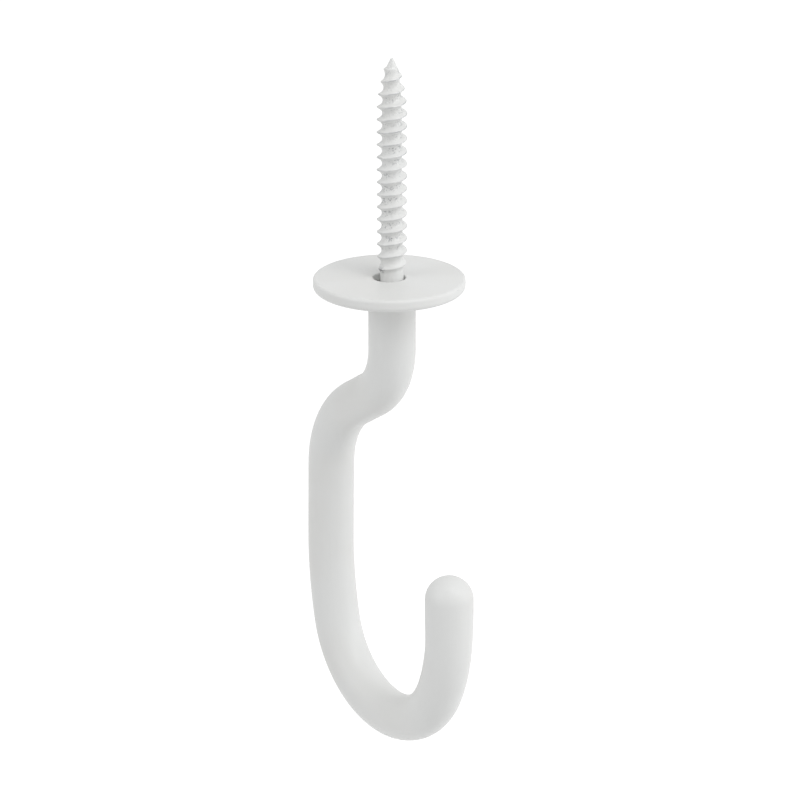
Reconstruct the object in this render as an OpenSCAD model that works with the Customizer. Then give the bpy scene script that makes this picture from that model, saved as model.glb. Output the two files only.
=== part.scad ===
// Screw hook: a white coated bar with a wood screw at its upper end, carrying a loose round ceiling plate.
// Lengths are in millimetres and angles in degrees.
// The origin is on the screw's axis, in the plane where the plate meets the ceiling.
// +Z runs up along the screw, and the hook is bent in the XZ plane with its tip towards +X.

/* [Bar] */
// Diameter of the round bar
bar_d = 9.5; // [7:0.5:12]
// Straight shank between the shoulder and the first bend
shank_length = 12.6; // [6:0.1:30]
// Height of the bevel round the shoulder that the plate rests on
shoulder_bevel = 0.5; // [0.2:0.1:1]

/* [Sideways offset] */
// Slope of the stretch between the two offset bends, from the vertical
slope_angle = 58.5; // [30:0.5:70]
// Centreline radius of the upper offset bend
upper_bend_r = 13.5; // [8:0.5:25]
// Straight bar between the two offset bends
slope_length = 7; // [1:0.1:20]
// Centreline radius of the lower offset bend
lower_bend_r = 19; // [8:0.5:30]

/* [Hook] */
// Outward lean of the straight back, from the vertical
back_lean = 1; // [0:0.5:6]
// Length of the straight back
back_length = 15.5; // [5:0.1:60]
// Centreline radius of the slight bow below the back
bow_r = 75; // [40:1:150]
// Angle that the bow turns through
bow_angle = 14.5; // [5:0.5:25]
// Centreline radius of the bowl that carries the load
bowl_r = 19.2; // [14:0.1:40]
// Centreline radius of the easier curve that leads from the bowl up to the tip
rise_r = 34; // [20:0.5:60]
// Angle that this curve turns through
rise_angle = 24; // [10:1:50]
// Outward lean of the straight tip, from the vertical
tip_lean = 0; // [0:1:20]
// Straight length of the tip, up to the centre of its dome
tip_length = 7.3; // [4:0.1:40]

/* [Neck] */
// Diameter of the plain neck that passes through the plate
neck_d = 4.6; // [4.2:0.1:5.4]
// Plain neck left above the plate, before the thread starts
neck_above = 1; // [0.6:0.1:4]
// Width of the small step in the radius where the neck's top meets the thread
neck_step = 0.05; // [0.03:0.01:0.1]

/* [Screw] */
// Height of the screw's point above the plate
screw_length = 44.5; // [32:0.1:70]
// Diameter over the crests of the thread
thread_d = 6; // [5.4:0.1:7]
// Core diameter between the crests, at the plate's end
core_d = 4.3; // [3.6:0.1:4.6]
// Core diameter where the point begins
core_point_d = 3.8; // [3:0.1:4]
// Distance from one crest to the next
thread_pitch = 2.54; // [2:0.01:3.5]
// Width of the blunt edge along a crest
crest_width = 0.2; // [0.1:0.05:0.4]
// How hollow the groove between two crests is, where 1 is a straight vee
groove_power = 2.2; // [1:0.1:3]
// Length over which the thread fades into the neck
runout_length = 5; // [2:0.1:7]
// How late in that length the thread fades, where 1 is a steady fade
runout_power = 3; // [1:0.5:4]
// Length over which thread and core draw in towards the point
point_length = 11; // [8:0.5:16]
// Length of the bare cone at the very point
cone_length = 2.1; // [1:0.1:2.6]
// Diameter of the bare cone at its base
cone_d = 2.5; // [1.6:0.1:2.8]
// Diameter of the blunt end of the point
point_d = 0.5; // [0.2:0.1:1]
// Height of the thread where it starts, at the base of the bare cone
start_height = 0.35; // [0.2:0.05:0.6]
// Direction from the axis in which the thread starts, counted from +X
start_angle = 235; // [0:1:359]

/* [Ceiling plate] */
// Outside diameter of the plate
plate_d = 30.3; // [20:0.1:50]
// Thickness of the plate
plate_thickness = 2.5; // [1.2:0.1:4]
// Rounding of the rim's upper edge
rim_upper_r = 0.6; // [0.2:0.1:0.6]
// Rounding of the rim's lower edge, as a share of half the plate's thickness
rim_lower_share = 0.8; // [0.3:0.05:0.95]
// Play between the neck and the plate's hole, on the diameter
hole_play = 1.9; // [0.4:0.1:3]
// Share of that play by which the loose plate has slipped off centre
plate_slip = 0.6; // [0:0.1:0.9]
// Direction in which it has slipped, counted from +X
plate_slip_angle = 250; // [0:1:359]

/* [Hidden] */
$fn = 96;
bead = 0.01;
coat_white = [0.91, 0.92, 0.91];

neck_r = neck_d / 2;
thread_r = thread_d / 2;
// The bowl turns the bar the rest of the way, from the bowed back up to the tip's own lean.
bowl_angle = 180 - tip_lean - bow_angle - rise_angle + back_lean;
hole_d = neck_d + hole_play;
plate_slip_distance = plate_slip * hole_play / 2;
rim_lower_r = rim_lower_share * plate_thickness / 2;

// The thread is a grid that climbs with the helix: turn_steps points round, groove_steps rows to a pitch.
turn_steps = 28;
groove_steps = 8;
crest_half = crest_width / 2 / thread_pitch;
thread_start_z = screw_length - cone_length;
runout_top = neck_above + runout_length;
// The thread's foot is sunk this far into the neck, so that the two are one solid.
foot_depth = 0.4;
foot_z = neck_above - foot_depth;
turns_below = ceil((thread_start_z - foot_z) / thread_pitch) + 1;
grid_start_z = thread_start_z - turns_below * thread_pitch;
grid_rows = groove_steps * ceil((screw_length - grid_start_z) / thread_pitch);
// Grid points nearer than this to either end of the thread are moved onto that end.
snap = 0.04;
// Length over which the first crest rises from the bare cone.
first_rise = 0.5;

// From 0 to 1 and level at the end, as x goes from 0 to 1
function ease(x) = sin(90 * min(1, max(0, x)));
// From 0 to 1 and level at both ends, as x goes from 0 to 1
function ramp(x) = (1 - cos(180 * min(1, max(0, x)))) / 2;
// Radius between a start and an end value, along the draw to the point
function drawn_r(from_r, to_r, below_point) =
    from_r + (to_r - from_r) * ease((below_point - cone_length) / (point_length - cone_length));

// Core radius of the parallel thread at height z, with its slight taper
function straight_core_r(z) =
    let (share = (z - neck_above) / (screw_length - point_length - neck_above))
    (core_d + (core_point_d - core_d) * min(1, share)) / 2;

// Core radius at height z: a bare cone, a rounded draw, the parallel core, and a fade into the neck
function core_r(z) =
    let (below_point = screw_length - z)
    let (bare = below_point < cone_length
        ? (point_d + (cone_d - point_d) * below_point / cone_length) / 2
        : drawn_r(cone_d / 2, straight_core_r(z), below_point))
    bare + (neck_r - neck_step - bare) * ramp((runout_top - z) / runout_length);

// Radius over the crest at height z
function crest_r(z) =
    let (below_point = screw_length - z)
    let (full = drawn_r(cone_d / 2 + start_height, thread_r, below_point))
    let (risen = ramp((below_point - cone_length + first_rise) / first_rise))
    let (kept = 1 - pow(min(1, max(0, (runout_top - z) / runout_length)), runout_power))
    core_r(z) + (full - core_r(z)) * risen * kept;

// Share of a pitch, and share of the thread's depth, at row k of one groove
function groove_row(k) =
    k == 0 ? [-crest_half, 1]
    : let (across = (k - 1) / (groove_steps - 1))
      [crest_half + (1 - 2 * crest_half) * across, pow(abs(2 * across - 1), groove_power)];

function snapped(z) =
    z < foot_z + snap ? foot_z : z > screw_length - snap ? screw_length : z;

// Point i round the axis on row j of the helical grid
function thread_point(i, j) =
    let (row = groove_row(j % groove_steps))
    let (turn = floor(j / groove_steps) + i / turn_steps + row[0])
    let (z = snapped(grid_start_z + turn * thread_pitch))
    let (r = core_r(z) + (crest_r(z) - core_r(z)) * row[1])
    let (angle = start_angle + 360 * i / turn_steps)
    [r * cos(angle), r * sin(angle), z];

// After a full turn a row has climbed by one pitch and runs on as the row one groove higher.
function thread_index(i, j) =
    i < turn_steps ? j * turn_steps + i : min(j + groove_steps, grid_rows) * turn_steps;

// The threaded length, from its foot in the neck to the point
module thread() {
    points = [for (j = [0 : grid_rows]) for (i = [0 : turn_steps - 1]) thread_point(i, j)];
    function apart(a, b) = norm(points[a] - points[b]) > snap / 10;
    function open(t) = apart(t[0], t[1]) && apart(t[1], t[2]) && apart(t[2], t[0]);
    sides = [
        for (j = [0 : grid_rows - 1])
            for (i = [0 : turn_steps - 1])
                let (a = thread_index(i, j))
                let (b = thread_index(i + 1, j))
                let (c = thread_index(i + 1, j + 1))
                let (d = thread_index(i, j + 1))
                for (t = [[a, c, b], [a, d, c]])
                    if (open(t)) t
    ];
    base = [for (i = [0 : turn_steps - 1]) i];
    end = [for (i = [turn_steps - 1 : -1 : 0]) grid_rows * turn_steps + i];
    polyhedron(points, concat(sides, [base, end]));
}

// A straight stretch of bar going down from the origin, with what follows hung on its lower end
module straight(length) {
    translate([0, 0, -length]) {
        cylinder(h = length, d = bar_d);
        joined() children();
    }
}

// A bend that starts downwards and turns towards +X, or towards -X when the angle is negative
module bend(radius, angle) {
    side = sign(angle);
    translate([side * radius, 0, 0])
        rotate([90, 0, 0])
            rotate_extrude(angle = angle, start = side > 0 ? 180 : 0)
                translate([radius, 0])
                    circle(d = bar_d);
    translate([side * radius, 0, 0])
        rotate([0, -angle, 0])
            translate([-side * radius, 0, 0])
                joined() children();
}

// A bead a hair wider than the bar, which runs two stretches of it into one
module joined() {
    sphere(d = bar_d + 2 * bead);
    children();
}

module dome() {
    sphere(d = bar_d);
}

// The neck, and the bevelled shoulder that it stands on
module neck_and_shoulder() {
    translate([0, 0, -plate_thickness])
        cylinder(h = plate_thickness + neck_above, d = neck_d);
    translate([0, 0, -plate_thickness - shoulder_bevel])
        cylinder(h = shoulder_bevel, d1 = bar_d, d2 = bar_d - 2 * shoulder_bevel);
}

// The bent bar, as one run of straights and bends from the shoulder to the domed tip
module bent_bar() {
    translate([0, 0, -plate_thickness - shoulder_bevel])
        straight(shank_length - shoulder_bevel)
        bend(upper_bend_r, -slope_angle)
        straight(slope_length)
        bend(lower_bend_r, slope_angle - back_lean)
        straight(back_length)
        bend(bow_r, bow_angle)
        bend(bowl_r, bowl_angle)
        bend(rise_r, rise_angle)
        straight(tip_length)
        dome();
}

module hook() {
    color(coat_white) {
        thread();
        neck_and_shoulder();
        bent_bar();
    }
}

// A rectangle of the plate's section, out from the hole's edge
module from_hole(reach, bottom, top) {
    translate([hole_d / 2, bottom])
        square([reach - hole_d / 2, top - bottom]);
}

// Half of the plate's section: flat faces, the edge of the hole, and a rim with two rounded edges
module plate_section() {
    outer_r = plate_d / 2;
    upper = [outer_r - rim_upper_r, -rim_upper_r];
    lower = [outer_r - rim_lower_r, rim_lower_r - plate_thickness];
    from_hole(lower[0], -plate_thickness, 0);
    from_hole(upper[0], lower[1], 0);
    from_hole(outer_r, lower[1], upper[1]);
    translate(upper)
        circle(r = rim_upper_r);
    translate(lower)
        circle(r = rim_lower_r);
}

module ceiling_plate() {
    color(coat_white)
        translate(plate_slip_distance * [cos(plate_slip_angle), sin(plate_slip_angle), 0])
            rotate_extrude()
                plate_section();
}

hook();
ceiling_plate();
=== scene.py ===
import math
import bmesh
import bpy
from mathutils import Matrix, Vector, noise


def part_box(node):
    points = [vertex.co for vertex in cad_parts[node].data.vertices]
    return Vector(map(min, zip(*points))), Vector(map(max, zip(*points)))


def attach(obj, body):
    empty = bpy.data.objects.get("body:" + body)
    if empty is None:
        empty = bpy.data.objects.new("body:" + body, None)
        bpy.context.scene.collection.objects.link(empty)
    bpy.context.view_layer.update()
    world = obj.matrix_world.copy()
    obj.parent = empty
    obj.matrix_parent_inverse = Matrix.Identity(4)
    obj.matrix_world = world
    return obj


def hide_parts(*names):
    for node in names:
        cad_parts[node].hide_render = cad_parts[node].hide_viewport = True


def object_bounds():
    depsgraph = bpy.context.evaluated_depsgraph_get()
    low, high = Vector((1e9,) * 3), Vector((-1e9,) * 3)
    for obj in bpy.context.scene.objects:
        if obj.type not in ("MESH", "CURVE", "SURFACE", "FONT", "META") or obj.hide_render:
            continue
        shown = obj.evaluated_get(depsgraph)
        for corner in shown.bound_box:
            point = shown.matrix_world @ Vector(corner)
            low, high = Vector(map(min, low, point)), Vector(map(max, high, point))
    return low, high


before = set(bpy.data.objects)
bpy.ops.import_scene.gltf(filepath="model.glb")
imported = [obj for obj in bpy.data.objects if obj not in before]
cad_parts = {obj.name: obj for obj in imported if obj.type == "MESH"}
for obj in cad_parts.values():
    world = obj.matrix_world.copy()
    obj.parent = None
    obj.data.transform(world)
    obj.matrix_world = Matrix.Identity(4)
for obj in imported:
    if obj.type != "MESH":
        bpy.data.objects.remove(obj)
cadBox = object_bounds()
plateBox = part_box("ceiling_plate")
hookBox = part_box("hook")
mm = 0.001
weldGap = 0.002 * mm     # doubles closer than this are merged
samePlace = 0.001 * mm   # closer than this counts as the same height or radius
print("frame loaded")


def clamp01(x):
    return min(1.0, max(0.0, x))


def ease(x):
    return math.sin(math.pi / 2 * clamp01(x))


def ramp(x):
    return (1 - math.cos(math.pi * clamp01(x))) / 2


def blend(first, second, share):
    return first + (second - first) * share


def finishPiece(name, bm, material, node):
    bmesh.ops.remove_doubles(bm, verts=bm.verts, dist=weldGap)
    bmesh.ops.recalc_face_normals(bm, faces=bm.faces)
    mesh = bpy.data.meshes.new(name)
    bm.to_mesh(mesh)
    bm.free()
    for face in mesh.polygons:
        face.use_smooth = True
    mesh.materials.append(material)
    piece = bpy.data.objects.new(name, mesh)
    bpy.context.scene.collection.objects.link(piece)
    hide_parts(node)
    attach(piece, "root")
    return piece


def newMaterial(name):
    material = bpy.data.materials.new(name)
    material.use_nodes = True
    tree = material.node_tree
    shader = tree.nodes["Principled BSDF"]
    return material, tree, shader


def addNode(tree, kind, **settings):
    node = tree.nodes.new(kind)
    for key, value in settings.items():
        setattr(node, key, value)
    return node


def addNoise(tree, vector, scale, detail, roughness=0.5):
    node = addNode(tree, "ShaderNodeTexNoise")
    node.inputs["Scale"].default_value = scale
    node.inputs["Detail"].default_value = detail
    node.inputs["Roughness"].default_value = roughness
    tree.links.new(vector, node.inputs["Vector"])
    return node.outputs["Fac"]


def addRange(tree, value, fromRange, toRange):
    node = addNode(tree, "ShaderNodeMapRange", interpolation_type="SMOOTHSTEP")
    tree.links.new(value, node.inputs["Value"])
    node.inputs["From Min"].default_value, node.inputs["From Max"].default_value = fromRange
    node.inputs["To Min"].default_value, node.inputs["To Max"].default_value = toRange
    return node.outputs["Result"]


def addMath(tree, operation, first, *others):
    result = first
    for other in others:
        node = addNode(tree, "ShaderNodeMath", operation=operation)
        for socket, value in zip(node.inputs, (result, other)):
            if isinstance(value, (int, float)):
                socket.default_value = value
            else:
                tree.links.new(value, socket)
        result = node.outputs["Value"]
    return result


def addMix(tree, factor, first, second):
    node = addNode(tree, "ShaderNodeMix", data_type="RGBA")
    tree.links.new(factor, node.inputs["Factor"])
    for socket, value in ((node.inputs["A"], first), (node.inputs["B"], second)):
        if isinstance(value, tuple):
            socket.default_value = value
        else:
            tree.links.new(value, socket)
    return node.outputs["Result"]


# The sprayed coat on both pieces. Scales are per metre.
coating = {
    "white": (0.735, 0.742, 0.735, 1),
    "whiteWarm": (0.72, 0.722, 0.71, 1),   # where the coat is a little thinner
    "shadeScale": 60,                      # how broadly the two whites change over
    "shadeRange": (0.35, 0.7),
    "roughness": (0.38, 0.48),
    "roughScale": 180,
    "roughRange": (0.3, 0.7),
    "peelScale": 520,                      # orange peel
    "peelHeight": 0.035 * mm,
    "peelStrength": 0.35,
    "gritScale": 2600,                     # fine grit on top of the peel
    "gritShare": 0.12,
    "specular": 0.27,
    "gloss": 0.06,                         # a faint clear layer over the white
    "glossRoughness": 0.2,
}

# Where the coat is thin on the thread, so that bare zinc shows, and where the crests are darkened as painted
# shade. Heights are above the ceiling's plane.
wearAndShade = {
    # the grey of bare zinc, also used for the painted shade along the crests
    "zincAndShadeGrey": (0.30, 0.31, 0.32, 1),
    "startHeights": (3.5 * mm, 9 * mm),    # none on the neck, few on the lowest turns
    "grooveRange": (0.08, 0.45),           # of the thread's height, 0 in the groove and 1 on the crest
    "patchScale": 330,
    "patchRange": (0.38, 0.58),
    "patchLeast": 0.25,
    "speckScale": 1900,
    "speckRoughness": 0.7,
    "speckRange": (0.5, 0.6),
    "thinHeights": (20 * mm, 34 * mm),     # the coat is thinner on the turns below these
    "thinShares": (1, 0.72),               # of the specks that show
    "crestRange": (0.88, 0.98),            # crests painted dark, partly as rubbed-bare wear and partly as painted shade for the dark line under each crest, most of all towards the point
    "rubAndShadeHeights": (16 * mm, 26 * mm),
    "rubAndShadeShares": (0.4, 0.65),              # how dark the crests are painted below and above these
    "rubAndShadeScale": 420,
    "rubAndShadeRange": (0.35, 0.6),
    "rubAndShadeLeast": 0.2,
    "crumbRange": (0.44, 0.54),            # dark flecks on the crumb of paint
}


def addWearAndShade(tree, place):
    split = addNode(tree, "ShaderNodeSeparateXYZ")
    tree.links.new(place, split.inputs["Vector"])
    height = split.outputs["Z"]
    crest = addNode(tree, "ShaderNodeAttribute", attribute_name="crestHeight").outputs["Fac"]
    crumb = addNode(tree, "ShaderNodeAttribute", attribute_name="crumb").outputs["Fac"]

    fine = addNoise(tree, place, wearAndShade["speckScale"], detail=4, roughness=wearAndShade["speckRoughness"])
    specks = addRange(tree, fine, wearAndShade["speckRange"], (0, 1))
    patches = addNoise(tree, place, wearAndShade["patchScale"], detail=2)
    patches = addRange(tree, patches, wearAndShade["patchRange"], (wearAndShade["patchLeast"], 1))
    thinner = addRange(tree, height, wearAndShade["thinHeights"], wearAndShade["thinShares"])
    onScrew = addRange(tree, height, wearAndShade["startHeights"], (0, 1))
    inGroove = addRange(tree, crest, wearAndShade["grooveRange"], (1, 0))
    grooves = addMath(tree, "MULTIPLY", specks, patches, thinner, onScrew, inGroove)

    # painted shade: the crests are darkened, partly as rubbed wear and partly to stand in for the shade
    # under each crest
    onCrest = addRange(tree, crest, wearAndShade["crestRange"], (0, 1))
    towardsPoint = addRange(tree, height, wearAndShade["rubAndShadeHeights"], wearAndShade["rubAndShadeShares"])
    uneven = addNoise(tree, place, wearAndShade["rubAndShadeScale"], detail=3)
    uneven = addRange(tree, uneven, wearAndShade["rubAndShadeRange"], (wearAndShade["rubAndShadeLeast"], 1))
    crestRubAndShade = addMath(tree, "MULTIPLY", onCrest, towardsPoint, uneven)

    flecks = addMath(tree, "MULTIPLY", crumb, addRange(tree, fine, wearAndShade["crumbRange"], (0, 1)))
    return addMath(tree, "MAXIMUM", grooves, crestRubAndShade, flecks)


def makeCoating(name, threaded):
    material, tree, shader = newMaterial(name)
    place = addNode(tree, "ShaderNodeTexCoord").outputs["Object"]
    shade = addNoise(tree, place, coating["shadeScale"], detail=2)
    shade = addRange(tree, shade, coating["shadeRange"], (0, 1))
    colour = addMix(tree, shade, coating["white"], coating["whiteWarm"])
    if threaded:
        # bare zinc specks in the grooves, plus painted shade along the crests
        bareAndShade = addWearAndShade(tree, place)
        colour = addMix(tree, bareAndShade, colour, wearAndShade["zincAndShadeGrey"])
        tree.links.new(bareAndShade, shader.inputs["Metallic"])
    tree.links.new(colour, shader.inputs["Base Color"])
    rough = addNoise(tree, place, coating["roughScale"], detail=4)
    rough = addRange(tree, rough, coating["roughRange"], coating["roughness"])
    tree.links.new(rough, shader.inputs["Roughness"])
    peel = addNoise(tree, place, coating["peelScale"], detail=2)
    grit = addNoise(tree, place, coating["gritScale"], detail=3)
    height = addMath(tree, "ADD", peel, addMath(tree, "MULTIPLY", grit, coating["gritShare"]))
    bump = addNode(tree, "ShaderNodeBump")
    bump.inputs["Strength"].default_value = coating["peelStrength"]
    bump.inputs["Distance"].default_value = coating["peelHeight"]
    tree.links.new(height, bump.inputs["Height"])
    tree.links.new(bump.outputs["Normal"], shader.inputs["Normal"])
    shader.inputs["Specular IOR Level"].default_value = coating["specular"]
    shader.inputs["Coat Weight"].default_value = coating["gloss"]
    shader.inputs["Coat Roughness"].default_value = coating["glossRoughness"]
    return material


hookCoat = makeCoating("hookCoat", True)
plateCoat = makeCoating("plateCoat", False)
print("materials made")


# The hook: one length of round bar, from the screw's point down to the domed tip. Bends are in degrees.
hook = {
    "sides": 96,                     # points round the bar and the thread
    "barRadius": 4.75 * mm,
    "shoulderBevel": 0.5 * mm,       # under the plate
    "run": [                         # from the shoulder to the dome
        ("straight", 12.1 * mm),
        ("bend", 13.5 * mm, -58.5),  # sideways, away from the tip
        ("straight", 7 * mm),
        ("bend", 19 * mm, 57.5),     # and back down
        ("straight", 15.5 * mm),
        ("bend", 75 * mm, 14.5),     # slight bow below the back
        ("bend", 19.2 * mm, 142.5),  # the bowl
        ("bend", 34 * mm, 24),       # opening out towards the tip
        ("straight", 7.3 * mm),
    ],
    "ringSpacing": 1.2 * mm,         # along the bar
    "fewestRings": 6,                # in a bend
    "domeRings": 14,
    "tipSwell": 0.033,               # the coat gathers towards the tip and fades out above the bowl
    "swellFull": 3 * mm,             # back along the bar from the dome's centre
    "swellEnd": 11.5 * mm,
    "swellReach": 1.5,               # bar radii from the tip's own line, so that the rest is left alone

    "neckRadius": 2.3 * mm,
    "neckTop": 1 * mm,
    "crestRadius": 3.0 * mm,
    "coreRadius": 2.15 * mm,
    "corePointRadius": 1.9 * mm,     # where the point begins
    "pitch": 2.54 * mm,
    "crestWidth": 0.2 * mm,
    "groovePower": 2.2,              # how hollow the groove is, where 1 is a straight vee
    "runout": 5 * mm,                # the thread fades into the neck over this length
    "runoutPower": 3,
    "pointLength": 11 * mm,
    "coneLength": 2.1 * mm,          # the bare cone at the very point
    "coneRadius": 1.25 * mm,
    "pointRadius": 0.25 * mm,
    "startHeight": 0.35 * mm,        # of the thread, where it starts at the cone's base
    "startAngle": 235,
    "startRise": 0.5 * mm,
    "rowsPerPitch": 20,
    "seamGap": 0.01 * mm,
    "pointCut": 0.05 * mm,           # the skin is closed just short of the point
    "leastRadius": 0.02 * mm,

    "unevenness": 0.035 * mm,        # how far rolling and paint leave the thread uneven
    "unevenGrain": 1.1 * mm,
    "unevenStart": 1 * mm,           # above the neck
    "unevenFade": 2 * mm,

    "crumbAngle": 267,               # a crumb of paint where the thread runs out
    "crumbHeight": 1.85 * mm,
    "crumbSize": 0.8 * mm,
    "crumbRise": 0.7 * mm,
    "crumbGrain": 0.33 * mm,
    "crumbBias": 0.25,               # it stands out more than it dips in
    "crumbFade": 0.5 * mm,           # above the neck
}
screwTip = hookBox[1][2]
shoulder = plateBox[0][2]


def vertsOf(edges):
    return list({v for e in edges for v in e.verts})


def extrudeRing(bm, ring):
    made = bmesh.ops.extrude_edge_only(bm, edges=ring)["geom"]
    return [g for g in made if isinstance(g, bmesh.types.BMEdge) and all(v in made for v in g.verts)]


def capRing(bm, ring):
    face = bmesh.ops.contextual_create(bm, geom=ring)["faces"]
    bmesh.ops.poke(bm, faces=face)


def drawnRadius(start, end, belowPoint):
    share = (belowPoint - hook["coneLength"]) / (hook["pointLength"] - hook["coneLength"])
    return blend(start, end, ease(share))


def threadShape(z, angle):
    belowPoint = screwTip - z
    intoRunout = clamp01((hook["neckTop"] + hook["runout"] - z) / hook["runout"])
    along = clamp01((z - hook["neckTop"]) / (screwTip - hook["pointLength"] - hook["neckTop"]))
    if belowPoint < hook["coneLength"]:
        widening = (hook["coneRadius"] - hook["pointRadius"]) / hook["coneLength"]
        core = hook["pointRadius"] + widening * max(0.0, belowPoint)
    else:
        core = blend(hook["coreRadius"], hook["corePointRadius"], along)
        core = drawnRadius(hook["coneRadius"], core, belowPoint)
    core = blend(core, hook["neckRadius"], ramp(intoRunout))
    crest = drawnRadius(hook["coneRadius"] + hook["startHeight"], hook["crestRadius"], belowPoint)
    rise = ramp((belowPoint - hook["coneLength"] + hook["startRise"]) / hook["startRise"])
    startZ = screwTip - hook["coneLength"]
    # how far this place lies from one crest to the next, from 0 to 1
    across = (z - startZ) / hook["pitch"] - (angle - math.radians(hook["startAngle"])) / (2 * math.pi)
    across = across - math.floor(across)
    half = hook["crestWidth"] / 2 / hook["pitch"]
    inGroove = clamp01((across - half) / (1 - 2 * half))
    tooth = abs(2 * inGroove - 1) ** hook["groovePower"]
    kept = 1 - intoRunout ** hook["runoutPower"]
    height = tooth * rise * kept    # 0 down in the groove, 1 along the crest
    return blend(core, crest, height), height


def addThreadSkin(bm):
    rowHeight = hook["pitch"] / hook["rowsPerPitch"]
    low = hook["neckTop"] - hook["pitch"]
    rows = math.ceil((screwTip - low) / rowHeight)
    top = bm.verts.new((hook["coreRadius"], 0, low))
    for row in range(rows):
        made = bmesh.ops.extrude_vert_indiv(bm, verts=[top])
        bmesh.ops.translate(bm, verts=made["verts"], vec=(0, 0, rowHeight))
        top = made["verts"][0]
    # One turn climbs one pitch, so the last column meets the first a pitch further up.
    climb = hook["pitch"] / hook["sides"]
    bmesh.ops.spin(bm, geom=bm.verts[:] + bm.edges[:], cent=(0, 0, 0), axis=(0, 0, 1),
                   dvec=(0, 0, climb), angle=2 * math.pi, steps=hook["sides"],
                   use_merge=False, use_duplicate=False)
    bmesh.ops.remove_doubles(bm, verts=bm.verts, dist=hook["seamGap"])
    # The skin overshoots both ends, so it is cut level at the neck and just short of the point.
    for height, upward in ((hook["neckTop"], -1), (screwTip - hook["pointCut"], 1)):
        geom = bm.verts[:] + bm.edges[:] + bm.faces[:]
        bmesh.ops.bisect_plane(bm, geom=geom, dist=samePlace, plane_co=(0, 0, height),
                               plane_no=(0, 0, upward), clear_outer=True)


def addThread(bm):
    addThreadSkin(bm)
    crestLayer = bm.verts.layers.float.new("crestHeight")
    crumbLayer = bm.verts.layers.float.new("crumb")
    crumbAngle = math.radians(hook["crumbAngle"])
    crumbPlace = Vector((math.cos(crumbAngle), math.sin(crumbAngle), 0)) * hook["neckRadius"]
    crumbPlace.z = hook["crumbHeight"]
    for v in bm.verts:
        angle = math.atan2(v.co.y, v.co.x)
        radius, v[crestLayer] = threadShape(v.co.z, angle)
        fadeIn = ramp((v.co.z - hook["neckTop"] - hook["unevenStart"]) / hook["unevenFade"])
        fadeOut = clamp01((screwTip - v.co.z) / hook["unevenFade"])
        radius += noise.noise(v.co / hook["unevenGrain"]) * hook["unevenness"] * fadeIn * fadeOut
        radius = max(hook["leastRadius"], radius)
        v.co.x = radius * math.cos(angle)
        v.co.y = radius * math.sin(angle)
        nearCrumb = math.exp(-((v.co - crumbPlace).length / hook["crumbSize"]) ** 2)
        nearCrumb *= ramp((v.co.z - hook["neckTop"]) / hook["crumbFade"])
        v[crumbLayer] = nearCrumb
        lump = noise.noise(v.co / hook["crumbGrain"]) + hook["crumbBias"]
        lump = lump * hook["crumbRise"] * nearCrumb
        v.co.x += lump * math.cos(angle)
        v.co.y += lump * math.sin(angle)
    rims = [e for e in bm.edges if e.is_boundary]
    middle = (hook["neckTop"] + screwTip) / 2
    capRing(bm, [e for e in rims if e.verts[0].co.z > middle])
    return [e for e in rims if e.verts[0].co.z < middle]


def addShoulder(bm, ring):
    # down the neck, out along the shoulder, and over its bevel
    ring = extrudeRing(bm, ring)
    bmesh.ops.translate(bm, verts=vertsOf(ring), vec=(0, 0, shoulder - hook["neckTop"]))
    faceRadius = hook["barRadius"] - hook["shoulderBevel"]
    for grow, drop in ((faceRadius / hook["neckRadius"], 0),
                       (hook["barRadius"] / faceRadius, hook["shoulderBevel"])):
        ring = extrudeRing(bm, ring)
        bmesh.ops.scale(bm, verts=vertsOf(ring), vec=(grow, grow, 1))
        bmesh.ops.translate(bm, verts=vertsOf(ring), vec=(0, 0, -drop))
    return ring


def addBar(bm, ring, top):
    place = Vector((0, 0, top))
    heading = 0.0   # 0 is straight down, positive towards the tip's side
    for stretch in hook["run"]:
        if stretch[0] == "straight":
            steps = max(1, round(stretch[1] / hook["ringSpacing"]))
            along = Vector((math.sin(heading), 0, -math.cos(heading))) * stretch[1]
            for step in range(steps):
                ring = extrudeRing(bm, ring)
                bmesh.ops.translate(bm, verts=vertsOf(ring), vec=along / steps)
            place = place + along
        else:
            radius = stretch[1]
            turn = math.radians(stretch[2])
            side = 1 if turn > 0 else -1
            centre = place + side * radius * Vector((math.cos(heading), 0, math.sin(heading)))
            steps = max(hook["fewestRings"], round(abs(turn) * radius / hook["ringSpacing"]))
            made = bmesh.ops.spin(bm, geom=ring, cent=centre, axis=(0, -1, 0), angle=turn,
                                  steps=steps, use_merge=False, use_duplicate=False)
            ring = [g for g in made["geom_last"] if isinstance(g, bmesh.types.BMEdge)]
            heading += turn
            place = centre - side * radius * Vector((math.cos(heading), 0, math.sin(heading)))
    ahead = Vector((math.sin(heading), 0, -math.cos(heading)))
    return ring, place, ahead


def addDome(bm, ring, centre, ahead):
    rings = hook["domeRings"]
    quarter = math.pi / 2
    for step in range(1, rings):
        before = (step - 1) / rings * quarter
        now = step / rings * quarter
        ring = extrudeRing(bm, ring)
        verts = vertsOf(ring)
        here = centre + ahead * hook["barRadius"] * math.sin(before)
        shrink = math.cos(now) / math.cos(before)
        bmesh.ops.scale(bm, verts=verts, vec=(shrink, shrink, shrink), space=Matrix.Translation(-here))
        bmesh.ops.translate(bm, verts=verts,
                            vec=ahead * hook["barRadius"] * (math.sin(now) - math.sin(before)))
    capRing(bm, ring)


def swellTip(bm, place, ahead):
    for v in bm.verts:
        along = (v.co - place).dot(ahead)
        out = v.co - place - ahead * along
        if out.length < hook["swellReach"] * hook["barRadius"]:
            share = ramp((along + hook["swellEnd"]) / (hook["swellEnd"] - hook["swellFull"]))
            v.co += (out + ahead * max(0.0, along) / 2) * hook["tipSwell"] * share


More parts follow.
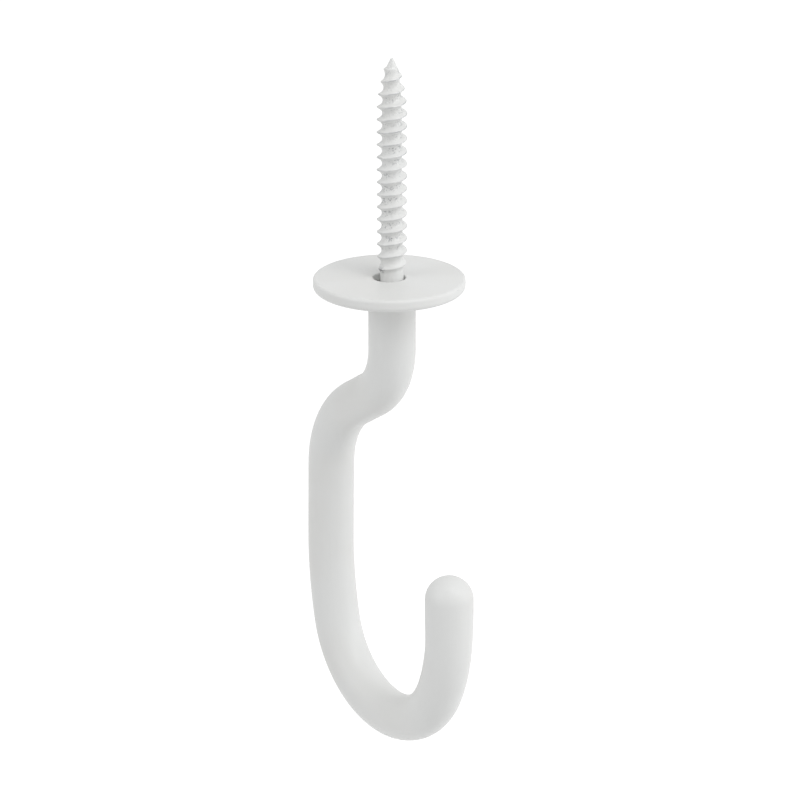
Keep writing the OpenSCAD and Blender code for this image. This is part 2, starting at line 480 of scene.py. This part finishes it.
def makeHook():
    bm = bmesh.new()
    ring = addThread(bm)
    ring = addShoulder(bm, ring)
    ring, place, ahead = addBar(bm, ring, shoulder - hook["shoulderBevel"])
    addDome(bm, ring, place, ahead)
    swellTip(bm, place, ahead)
    return finishPiece("hookBody", bm, hookCoat, "hook")


hookPiece = makeHook()
print("hook modelled:", len(hookPiece.data.polygons), "faces")


# The loose ceiling plate. Its diameter, thickness and place come from the frame.
plate = {
    "upperRound": 0.6 * mm,
    "lowerRound": 1 * mm,
    "holeDiameter": 6.5 * mm,
    "holeRound": 0.25 * mm,
    "sides": 160,
    "roundSegments": 8,
}


def makePlate():
    low, high = plateBox
    centre = Vector(((low[0] + high[0]) / 2, (low[1] + high[1]) / 2, 0))
    outer = (high[0] - low[0]) / 2
    hole = plate["holeDiameter"] / 2
    bm = bmesh.new()
    corners = [(hole, low[2]), (outer, low[2]), (outer, high[2]), (hole, high[2])]
    verts = [bm.verts.new((centre.x + x, centre.y, z)) for x, z in corners]
    outline = [bm.edges.new((verts[k], verts[(k + 1) % 4])) for k in range(4)]
    bmesh.ops.spin(bm, geom=outline, cent=centre, axis=(0, 0, 1), angle=2 * math.pi,
                   steps=plate["sides"], use_merge=True, use_duplicate=False)
    bmesh.ops.remove_doubles(bm, verts=bm.verts, dist=weldGap)
    bmesh.ops.recalc_face_normals(bm, faces=bm.faces)

    for radius, height, size in ((outer, high[2], plate["upperRound"]), (outer, low[2], plate["lowerRound"]),
                                 (hole, high[2], plate["holeRound"]), (hole, low[2], plate["holeRound"])):
        edges = [e for e in bm.edges if all(abs((v.co.xy - centre.xy).length - radius) < samePlace
                                            and abs(v.co.z - height) < samePlace for v in e.verts)]
        bmesh.ops.bevel(bm, geom=edges, offset=size, offset_type="OFFSET", profile=0.5,
                        segments=plate["roundSegments"], affect="EDGES", material=-1, clamp_overlap=True)
    return finishPiece("plateBody", bm, plateCoat, "ceiling_plate")


platePiece = makePlate()
print("plate modelled:", len(platePiece.data.polygons), "faces")


# The set: floor, light and camera.
stageSettings = {
    "floorDrop": 0.30,          # the floor lies this far below the hook
    "floorSize": 6.0,
    "floorWhite": (0.84, 0.84, 0.84, 1),
    "floorGlow": 0.52,          # added where the floor is seen or mirrored, so that it reads as white
    "worldWhite": 1.0,
    "worldLight": 0.645,
}

lamps = [
    # name, azimuth, elevation, distance, size, power
    ("topLamp", 80, 64, 1.2, 0.6, 2.3),
    ("keyLamp", 110, 40, 1.2, 0.6, 2.9),
    ("sideLamp", 142, 8, 1.2, 0.8, 2.9),
    ("fillLamp", 350, 25, 1.3, 0.9, 2.8),
]

cameraSettings = {
    "azimuth": 54,
    "pitch": 20.22,
    "distance": 0.7125,
    "lens": 161.8,
    "sensor": 36,
    "clipStart": 0.01,
    "aimRight": 1.584 * mm,     # the aim, from the shoulder's centre
    "aimDown": 22.068 * mm,
}


def seenAsBackground(tree):
    path = addNode(tree, "ShaderNodeLightPath")
    return addMath(tree, "MAXIMUM", path.outputs["Is Camera Ray"], path.outputs["Is Glossy Ray"],
                   path.outputs["Is Transmission Ray"])


def makeWorld():
    world = bpy.data.worlds.new("studioWorld")
    bpy.context.scene.world = world
    world.use_nodes = True
    tree = world.node_tree
    background = tree.nodes["Background"]
    background.inputs["Color"].default_value = (1, 1, 1, 1)
    strength = addRange(tree, seenAsBackground(tree), (0, 1),
                        (stageSettings["worldLight"], stageSettings["worldWhite"]))
    tree.links.new(strength, background.inputs["Strength"])


def makeFloor():
    bm = bmesh.new()
    bmesh.ops.create_grid(bm, x_segments=1, y_segments=1, size=stageSettings["floorSize"])
    drop = cadBox[0][2] - stageSettings["floorDrop"]
    bmesh.ops.translate(bm, verts=bm.verts, vec=(0, 0, drop))
    mesh = bpy.data.meshes.new("studioFloor")
    bm.to_mesh(mesh)
    bm.free()
    floor = bpy.data.objects.new("studioFloor", mesh)
    bpy.context.scene.collection.objects.link(floor)
    material, tree, shader = newMaterial("floorWhite")
    shader.inputs["Base Color"].default_value = stageSettings["floorWhite"]
    shader.inputs["Roughness"].default_value = 1.0
    shader.inputs["Specular IOR Level"].default_value = 0
    shader.inputs["Emission Color"].default_value = (1, 1, 1, 1)
    glow = addMath(tree, "MULTIPLY", seenAsBackground(tree), stageSettings["floorGlow"])
    tree.links.new(glow, shader.inputs["Emission Strength"])
    mesh.materials.append(material)


def directionFrom(azimuth, elevation):
    a = math.radians(azimuth)
    e = math.radians(elevation)
    return Vector((math.sin(a) * math.cos(e), -math.cos(a) * math.cos(e), math.sin(e)))


def makeLamps():
    middle = (Vector(cadBox[0]) + Vector(cadBox[1])) / 2
    for name, azimuth, elevation, distance, size, power in lamps:
        light = bpy.data.lights.new(name, "AREA")
        light.shape = "DISK"
        light.size = size
        light.energy = power
        lamp = bpy.data.objects.new(name, light)
        towards = directionFrom(azimuth, elevation)
        lamp.location = middle + towards * distance
        lamp.rotation_euler = towards.to_track_quat("Z", "Y").to_euler()
        bpy.context.scene.collection.objects.link(lamp)


def makeCamera():
    back = directionFrom(cameraSettings["azimuth"], cameraSettings["pitch"])
    right = Vector((0, 0, 1)).cross(back).normalized()
    up = back.cross(right)
    aim = Vector((0, 0, shoulder)) + right * cameraSettings["aimRight"] - up * cameraSettings["aimDown"]
    data = bpy.data.cameras.new("mainCamera")
    data.lens = cameraSettings["lens"]
    data.sensor_width = cameraSettings["sensor"]
    data.clip_start = cameraSettings["clipStart"]
    camera = bpy.data.objects.new("mainCamera", data)
    camera.location = aim + back * cameraSettings["distance"]
    camera.rotation_euler = Matrix((right, up, back)).transposed().to_euler()
    bpy.context.scene.collection.objects.link(camera)
    bpy.context.scene.camera = camera


makeWorld()
makeFloor()
makeLamps()
makeCamera()
bpy.context.scene.view_settings.view_transform = "Standard"
print("set ready")
